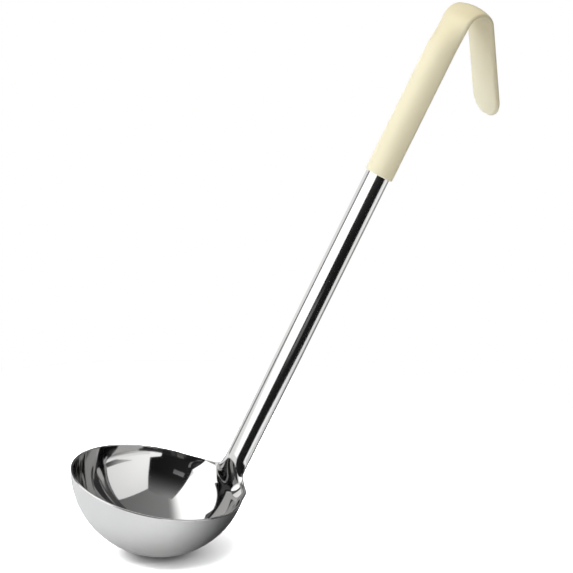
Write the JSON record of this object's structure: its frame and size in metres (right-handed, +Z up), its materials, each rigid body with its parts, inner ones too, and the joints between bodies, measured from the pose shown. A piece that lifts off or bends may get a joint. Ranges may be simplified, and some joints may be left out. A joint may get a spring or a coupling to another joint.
{
  "type": "portion control ladle",
  "caption": "Kitchen ladle pressed from one steel sheet, with a round bowl, a channel handle bent into a hook, and an ivory grip sleeve over the hook end.",
  "frame": {"origin": "saddle of the hook: the middle of the grip's inner face at the top of the bend, where the ladle hangs on a rail", "axes": "+Z up along the bowl's axis, with the rim level; +X from the bowl towards the handle and its hook; +Y across the handle"},
  "size_m": [0.1804, 0.078, 0.2564],
  "materials": {
    "steel": "mirror polished inside the bowl and on the handle, satin outside the bowl",
    "grip": "smooth ivory vinyl with a soft sheen"
  },
  "bodies": {
    "root": {"steel_ladle": "steel", "grip_sleeve": "grip"}
  },
  "joints": []
}
